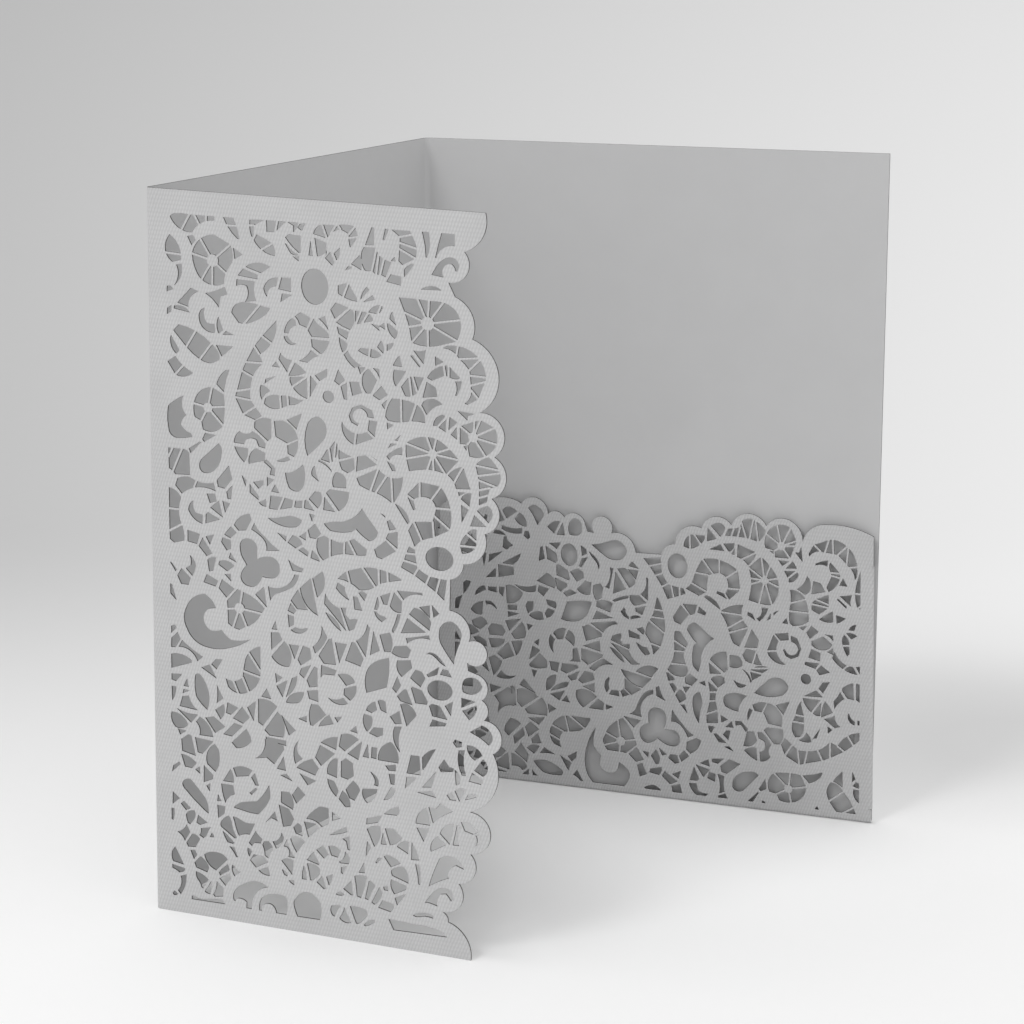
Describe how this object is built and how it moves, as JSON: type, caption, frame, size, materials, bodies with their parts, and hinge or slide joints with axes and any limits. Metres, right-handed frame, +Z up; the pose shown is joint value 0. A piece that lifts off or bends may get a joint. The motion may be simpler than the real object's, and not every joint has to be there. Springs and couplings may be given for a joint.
{
  "type": "pocket fold invitation",
  "caption": "Standing three-panel card folded from one sheet, with a lace-cut flap and a lace-cut pocket folded up along the foot of its right panel.",
  "frame": {"origin": "under the middle of the standing card's bounding box, on the surface it stands on", "axes": "+Z up; the lace flap and the pocket face -Y; the pocket panel is at +X"},
  "size_m": [0.1872, 0.1434, 0.178],
  "materials": {
    "card": "fine linen texture with a faint pearl sheen",
    "tape": "clear double-sided film"
  },
  "bodies": {
    "root": {"folded_card": "card", "tape_left": "tape", "tape_right": "tape"}
  },
  "joints": []
}
